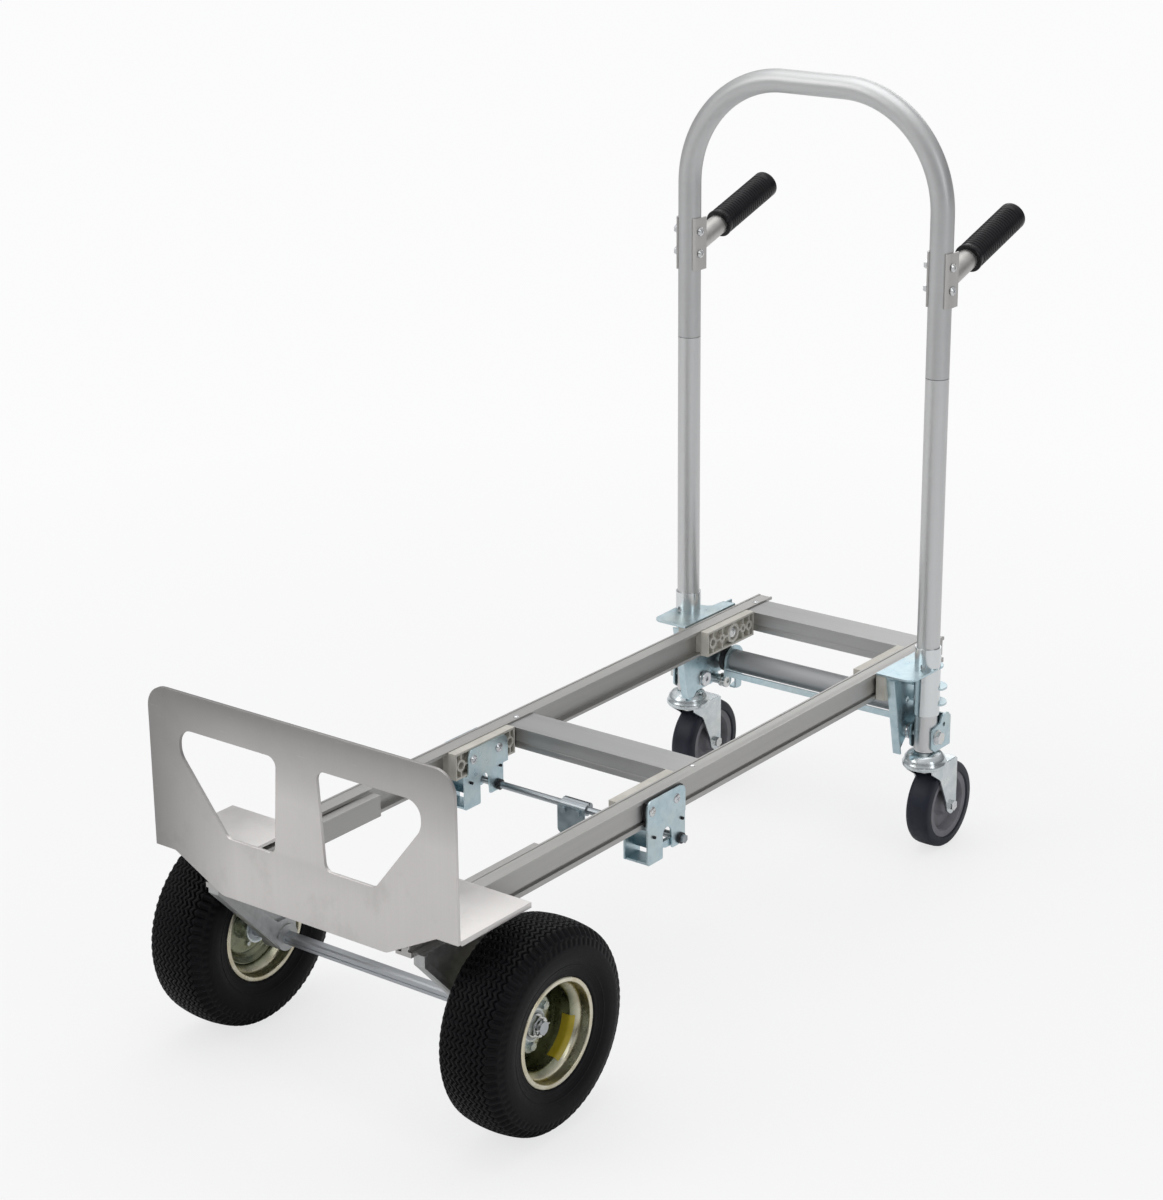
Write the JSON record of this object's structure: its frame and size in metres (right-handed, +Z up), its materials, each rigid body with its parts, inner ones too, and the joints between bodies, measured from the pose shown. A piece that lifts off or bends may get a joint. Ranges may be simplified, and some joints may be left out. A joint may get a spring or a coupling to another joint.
{
  "type": "convertible hand truck",
  "caption": "Convertible aluminium hand truck with a folding and sliding U-shaped handle, pneumatic main wheels and swivel casters, set as a flat platform cart.",
  "frame": {"origin": "on the floor, under the middle of the truck in platform position", "axes": "+X to one side of the truck, +Y from the toe plate to the handle, +Z up; the truck is symmetric about X = 0 apart from its small fastener heads and release clamp"},
  "size_m": [0.5408, 1.2339, 1.0699],
  "materials": {
    "toe_aluminium": "brushed",
    "rail_aluminium": "satin extruded",
    "steel": "satin",
    "zinc_hardware": "bright zinc plated",
    "zinc_plate": "blue-white zinc plated",
    "nylon": "beige moulded nylon",
    "black_oxide": "black oxide",
    "black_plastic": "black",
    "tyre_rubber": "moulded tread",
    "rim_paint": "pale gold plated",
    "valve_rubber": "matt",
    "sleeve_chrome": "bright plated",
    "handle_aluminium": "bright satin tube",
    "grip_rubber": "glossy ribbed",
    "caster_rubber": "smooth",
    "caster_core": "grey moulded"
  },
  "bodies": {
    "frame": {"toe_plate": "toe_aluminium", "rail_left": "rail_aluminium", "rail_right": "rail_aluminium", "rail_reinforcements": "rail_aluminium", "mid_cross_member": "rail_aluminium", "rear_cross_member": "rail_aluminium", "rail_rivets": "zinc_hardware", "axle": "steel", "axle_brackets": "rail_aluminium", "axle_nuts": "zinc_hardware", "mid_blocks": "nylon", "mid_spacers": "nylon", "rear_blocks": "nylon", "latch_bracket_left": "zinc_plate", "latch_bracket_right": "zinc_plate", "latch_screws": "zinc_hardware", "latch_pins": "black_oxide", "latch_leaves": "zinc_plate", "shaft_bushes": "black_plastic", "pivot_bolts": "zinc_hardware"},
    "wheel_left": {"tyre_left": "tyre_rubber", "rim_left": "rim_paint", "hub_left": "zinc_hardware", "bearings_left": "zinc_hardware", "valve_left": "valve_rubber"},
    "wheel_right": {"tyre_right": "tyre_rubber", "rim_right": "rim_paint", "hub_right": "zinc_hardware", "bearings_right": "zinc_hardware", "valve_right": "valve_rubber"},
    "release": {"release_shaft": "steel", "release_hooks": "zinc_plate", "release_clamp": "steel", "release_paddle": "steel"},
    "carriage": {"pivot_bracket_left": "zinc_plate", "pivot_bracket_right": "zinc_plate", "sleeves": "sleeve_chrome", "pivot_spacers": "nylon", "cross_tube": "steel", "cross_tube_rings": "black_plastic", "cross_tube_bolts": "zinc_hardware"},
    "lock_bar": {"lock_bar": "zinc_plate"},
    "handle": {"handle_loop": "handle_aluminium", "handle_tubes": "handle_aluminium", "splice_plugs": "steel", "grip_clamps": "handle_aluminium", "clamp_screws": "zinc_hardware", "grip_stubs": "handle_aluminium", "grips": "grip_rubber", "stud_brackets": "zinc_plate", "latch_studs": "zinc_hardware", "caster_stems": "zinc_hardware"},
    "caster_left": {"caster_fork_left": "zinc_plate", "caster_bolt_left": "zinc_hardware"},
    "caster_right": {"caster_fork_right": "zinc_plate", "caster_bolt_right": "zinc_hardware"},
    "caster_wheel_left": {"caster_tyre_left": "caster_rubber", "caster_core_left": "caster_core"},
    "caster_wheel_right": {"caster_tyre_right": "caster_rubber", "caster_core_right": "caster_core"}
  },
  "joints": [
    {"name": "wheel_left_spin", "type": "hinge", "parent": "frame", "child": "wheel_left", "pos_m": [0.2254, -0.48755, 0.127], "axis": [1, 0, 0], "continuous": true},
    {"name": "wheel_right_spin", "type": "hinge", "parent": "frame", "child": "wheel_right", "pos_m": [-0.2254, -0.48755, 0.127], "axis": [1, 0, 0], "continuous": true},
    {"name": "carriage_pivot", "type": "hinge", "parent": "frame", "child": "carriage", "pos_m": [0, 0.42245, 0.258], "axis": [-1, 0, 0], "range_deg": [0, 90]},
    {"name": "handle_slide", "type": "slide", "parent": "carriage", "child": "handle", "axis": [0, 0, -1], "range_m": [0, 0.467]},
    {"name": "lock_bar_hinge", "type": "hinge", "parent": "carriage", "child": "lock_bar", "pos_m": [0, 0.46945, 0.196], "axis": [1, 0, 0], "range_deg": [-25, 0]},
    {"name": "caster_left_swivel", "type": "hinge", "parent": "handle", "child": "caster_left", "pos_m": [0.2005, 0.42245, 0.14], "axis": [0, 0, 1], "continuous": true},
    {"name": "caster_right_swivel", "type": "hinge", "parent": "handle", "child": "caster_right", "pos_m": [-0.2005, 0.42245, 0.14], "axis": [0, 0, 1], "continuous": true},
    {"name": "caster_left_spin", "type": "hinge", "parent": "caster_left", "child": "caster_wheel_left", "pos_m": [0.2005, 0.46445, 0.0625], "axis": [1, 0, 0], "continuous": true},
    {"name": "caster_right_spin", "type": "hinge", "parent": "caster_right", "child": "caster_wheel_right", "pos_m": [-0.2005, 0.46445, 0.0625], "axis": [1, 0, 0], "continuous": true},
    {"name": "latch_release", "type": "hinge", "parent": "frame", "child": "release", "pos_m": [0, -0.10955, 0.2045], "axis": [1, 0, 0], "range_deg": [0, 30]}
  ]
}
